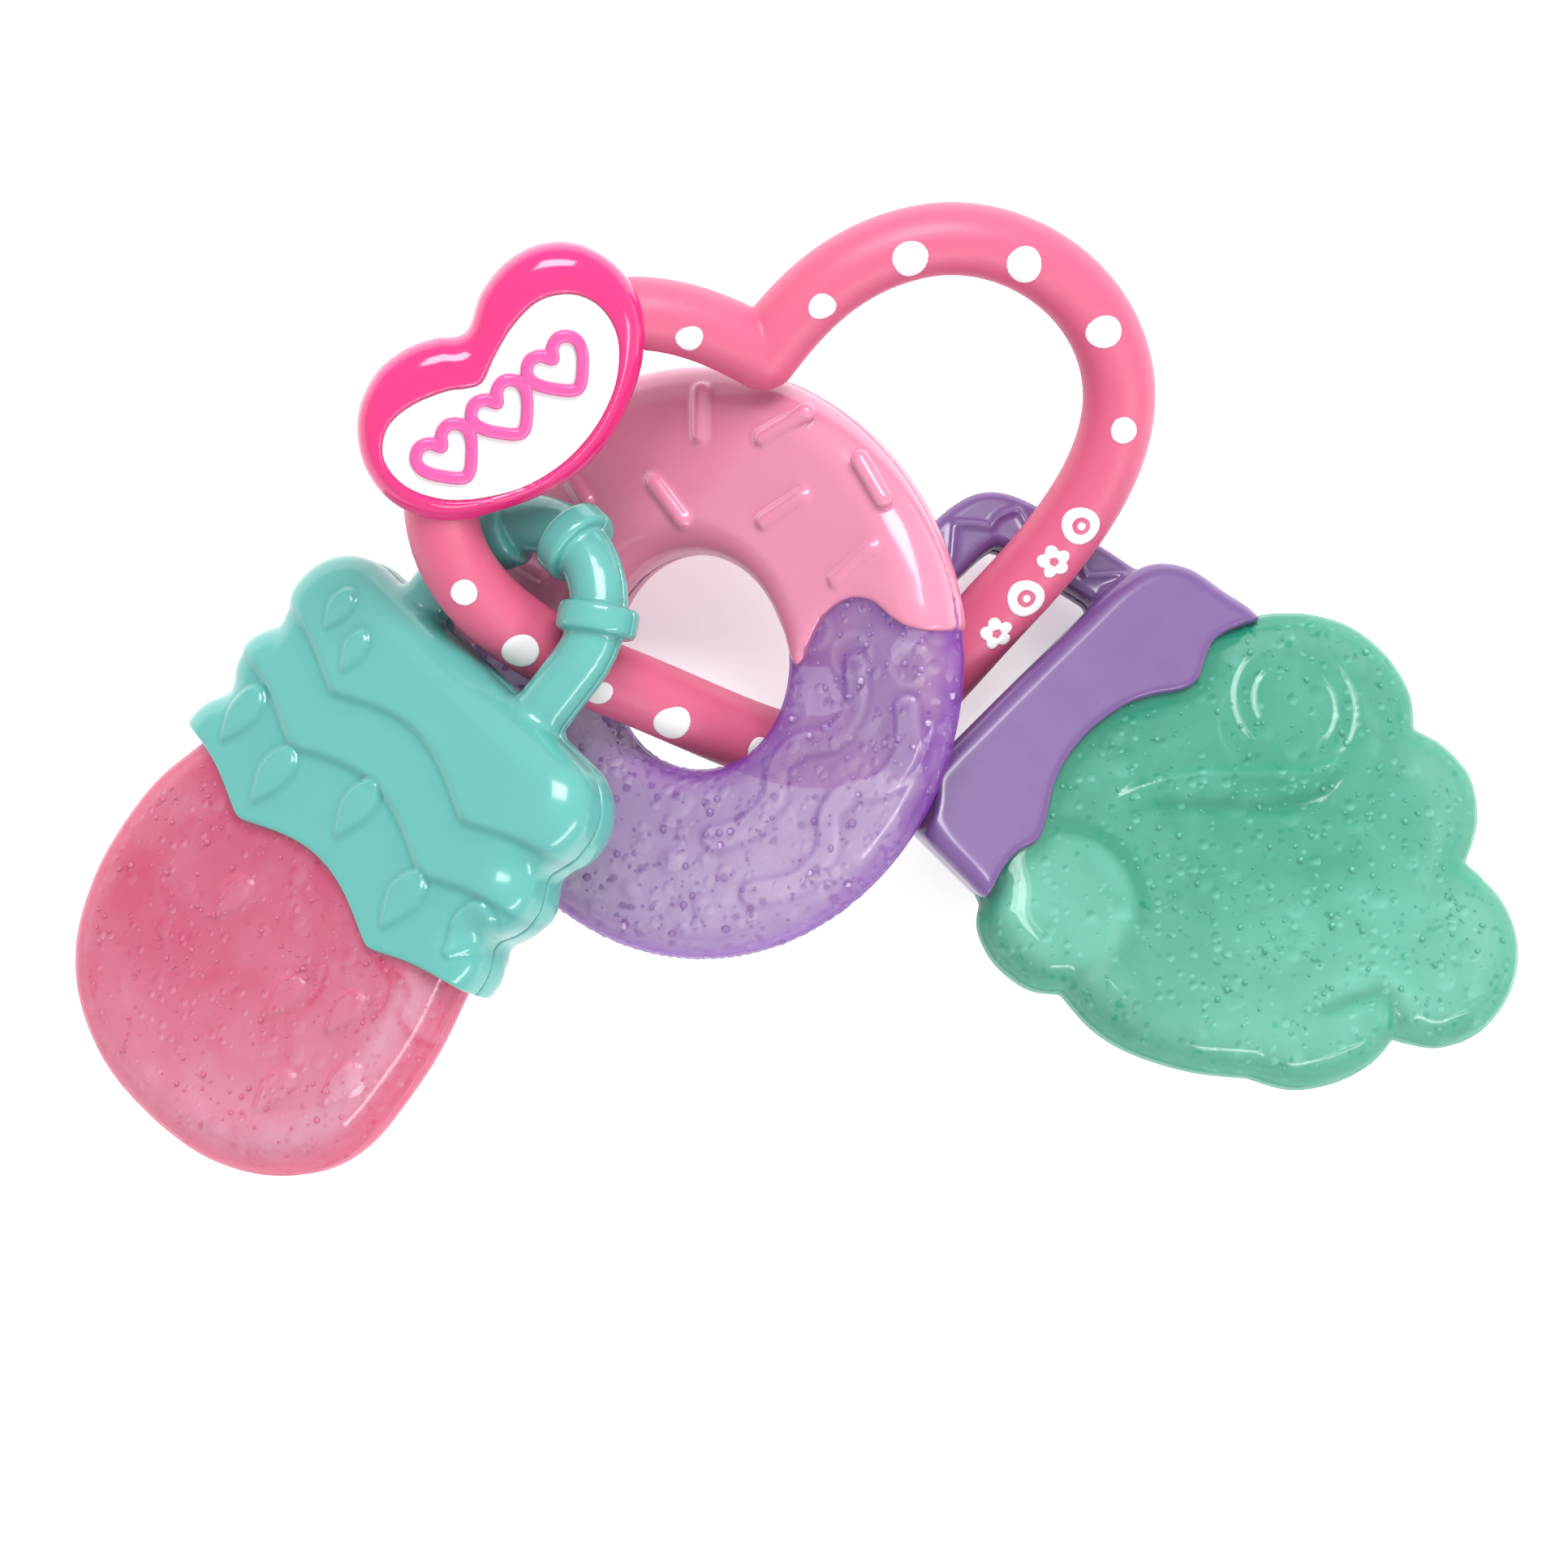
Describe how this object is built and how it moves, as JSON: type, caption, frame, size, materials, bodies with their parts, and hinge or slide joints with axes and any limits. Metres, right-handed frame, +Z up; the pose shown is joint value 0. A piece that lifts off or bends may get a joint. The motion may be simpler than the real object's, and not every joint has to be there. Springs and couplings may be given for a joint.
{
  "type": "teething ring",
  "caption": "Baby teething ring: a pink heart ring with a heart badge, carrying cupcake, doughnut and ice cream gel teethers",
  "frame": {"origin": "centre of the assembly's outline on the table, at the lowest point of the three teethers", "axes": "+X to the right along the longest side, from the cupcake to the ice cream; +Y from the heart's tip towards its lobes; +Z up, out of the fronts of the teethers"},
  "size_m": [0.18, 0.1184, 0.0504],
  "materials": {
    "ring_pink": "satin moulded",
    "white_print": "satin",
    "magenta": "glossy moulded",
    "white_face": "satin moulded",
    "aqua": "glossy moulded",
    "rose_shell": "clear glossy",
    "rose_gel": "clear with bubbles",
    "icing_pink": "glossy moulded",
    "violet_shell": "clear glossy",
    "violet_gel": "clear with bubbles",
    "purple": "glossy moulded",
    "green_shell": "clear glossy",
    "green_gel": "clear with bubbles"
  },
  "bodies": {
    "ring": {"heart_ring": "ring_pink", "ring_dots": "white_print", "ring_blossoms": "white_print", "badge_front": "magenta", "badge_back": "magenta", "badge_face": "white_face", "badge_motif": "magenta"},
    "cupcake": {"cupcake_cap_front": "aqua", "cupcake_cap_back": "aqua", "cupcake_gel_front": "rose_shell", "cupcake_gel_back": "rose_shell", "cupcake_gel_fill": "rose_gel"},
    "donut": {"donut_icing_front": "icing_pink", "donut_icing_back": "icing_pink", "donut_gel_front": "violet_shell", "donut_gel_back": "violet_shell", "donut_gel_fill": "violet_gel"},
    "icecream": {"icecream_cap_front": "purple", "icecream_cap_back": "purple", "icecream_gel_front": "green_shell", "icecream_gel_back": "green_shell", "icecream_gel_fill": "green_gel"}
  },
  "joints": [
    {"name": "cupcake_swing", "type": "hinge", "parent": "ring", "child": "cupcake", "pos_m": [-0.03483, 0.00777, 0.02807], "axis": [-0.7447, 0.5675, 0.3512], "range_deg": [-10, 12]},
    {"name": "donut_spin", "type": "hinge", "parent": "ring", "child": "donut", "pos_m": [-0.01157, 0.00316, 0.02116], "axis": [-0.497, 0, 0.8678], "continuous": true},
    {"name": "icecream_swing", "type": "hinge", "parent": "ring", "child": "icecream", "pos_m": [0.02213, 0.00667, 0.0169], "axis": [-0.6621, -0.7348, -0.1474], "range_deg": [-12, 1]}
  ]
}
